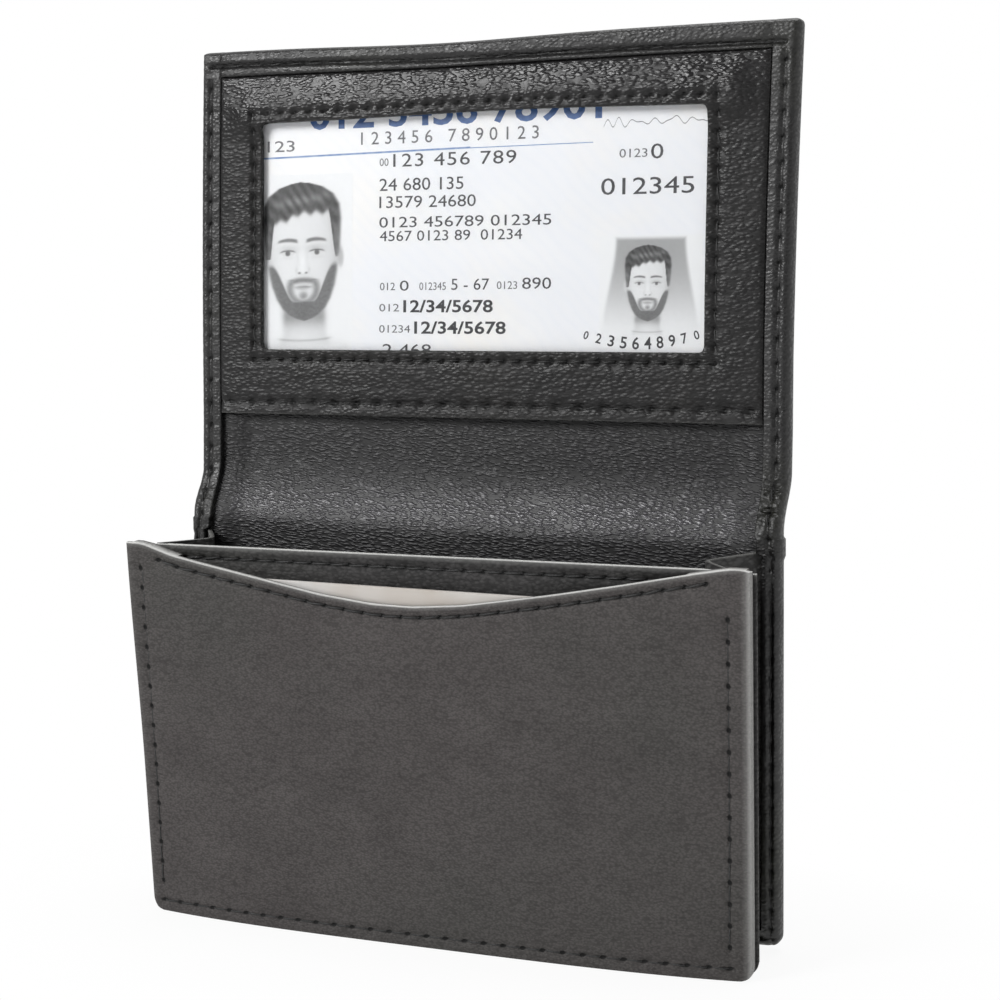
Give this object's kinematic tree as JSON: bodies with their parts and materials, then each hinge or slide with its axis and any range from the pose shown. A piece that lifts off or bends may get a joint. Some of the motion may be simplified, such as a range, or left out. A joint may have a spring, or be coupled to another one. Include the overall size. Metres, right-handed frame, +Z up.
{
  "type": "card holder",
  "caption": "Folding leather card holder with a window flap, a scooped front card pocket and a bellows main compartment",
  "frame": {"origin": "bottom centre of the open, standing holder, on the surface that it stands on", "axes": "+Z up along the open holder, -Y out of its front, +X to the right as seen from the front"},
  "size_m": [0.1084, 0.0319, 0.1474],
  "materials": {
    "cover_leather": "satin",
    "lining_leather": "satin",
    "panel_leather": "satin",
    "front_leather": "satin",
    "divider_leather": "satin",
    "gusset_leather": "matte",
    "black_thread": "matte",
    "clear_film": "gloss",
    "card_plastic": "satin",
    "plain_card": "matte"
  },
  "bodies": {
    "back": {"back_cover": "cover_leather", "back_lining": "lining_leather", "back_seam_thread": "black_thread"},
    "spine": {"spine_cover": "cover_leather", "spine_lining": "lining_leather"},
    "flap": {"flap_cover": "cover_leather", "flap_lining": "lining_leather", "window_panel": "panel_leather", "window_film": "clear_film", "hem_thread": "black_thread", "window_thread": "black_thread", "panel_edge_thread": "black_thread"},
    "id_card": {"id_card": "card_plastic"},
    "pocket": {"front_panel": "front_leather", "divider_panel": "divider_leather", "pocket_seam_thread": "black_thread", "scoop_thread": "black_thread", "divider_thread": "black_thread"},
    "front_card": {"front_card": "plain_card"},
    "left_leaf_rear": {"left_gusset_rear": "gusset_leather"},
    "left_leaf_front": {"left_gusset_front": "gusset_leather"},
    "right_leaf_rear": {"right_gusset_rear": "gusset_leather"},
    "right_leaf_front": {"right_gusset_front": "gusset_leather"},
    "bottom_leaf_rear": {"bottom_gusset_rear": "gusset_leather"},
    "bottom_leaf_front": {"bottom_gusset_front": "gusset_leather"}
  },
  "joints": [
    {"name": "spine_fold", "type": "hinge", "parent": "back", "child": "spine", "pos_m": [0, 0.00332, 0.0643], "axis": [1, 0, 0], "range_deg": [-30, 104.1]},
    {"name": "flap_fold", "type": "hinge", "parent": "spine", "child": "flap", "pos_m": [0, 0.00822, 0.0837], "axis": [1, 0, 0], "range_deg": [-30, 79.4]},
    {"name": "id_card_slide", "type": "slide", "parent": "flap", "child": "id_card", "axis": [0, 0.0628, 0.998], "range_m": [-0.01, 0]},
    {"name": "pocket_expand", "type": "slide", "parent": "back", "child": "pocket", "axis": [0, -1, 0], "range_m": [-0.006, 0]},
    {"name": "front_card_slide", "type": "slide", "parent": "pocket", "child": "front_card", "axis": [-0.0009, 0.0279, -0.9996], "range_m": [-0.045, 0]},
    {"name": "left_rear_fold", "type": "hinge", "parent": "back", "child": "left_leaf_rear", "pos_m": [-0.0503, 0.00422, 0], "axis": [0, 0, 1], "range_deg": [-1, 30]},
    {"name": "left_crest_fold", "type": "hinge", "parent": "left_leaf_rear", "child": "left_leaf_front", "pos_m": [-0.04539, -0.00335, 0.0625], "axis": [-0.0106, 0.0164, -0.9998], "range_deg": [-1, 60]},
    {"name": "right_rear_fold", "type": "hinge", "parent": "back", "child": "right_leaf_rear", "pos_m": [0.0503, 0.00422, 0], "axis": [0, 0, 1], "range_deg": [-29.5, 1]},
    {"name": "right_crest_fold", "type": "hinge", "parent": "right_leaf_rear", "child": "right_leaf_front", "pos_m": [0.04463, -0.00165, 0.0625], "axis": [0.0155, 0.0161, -0.9998], "range_deg": [-58.5, 1]},
    {"name": "bottom_rear_fold", "type": "hinge", "parent": "back", "child": "bottom_leaf_rear", "pos_m": [0, 0.00422, 0.0037], "axis": [1, 0, 0], "range_deg": [-32, 1]},
    {"name": "bottom_crest_fold", "type": "hinge", "parent": "bottom_leaf_rear", "child": "bottom_leaf_front", "pos_m": [0, -0.00168, 0.00865], "axis": [1, 0, 0], "range_deg": [-1, 64]}
  ],
  "couplings": [
    {"joint": "left_rear_fold", "follows": "pocket_expand", "rad_per_m": -84.474},
    {"joint": "left_crest_fold", "follows": "pocket_expand", "rad_per_m": -168.95},
    {"joint": "right_rear_fold", "follows": "pocket_expand", "rad_per_m": 83.078},
    {"joint": "right_crest_fold", "follows": "pocket_expand", "rad_per_m": 166.16},
    {"joint": "bottom_rear_fold", "follows": "pocket_expand", "rad_per_m": 90.757},
    {"joint": "bottom_crest_fold", "follows": "pocket_expand", "rad_per_m": -181.51}
  ]
}
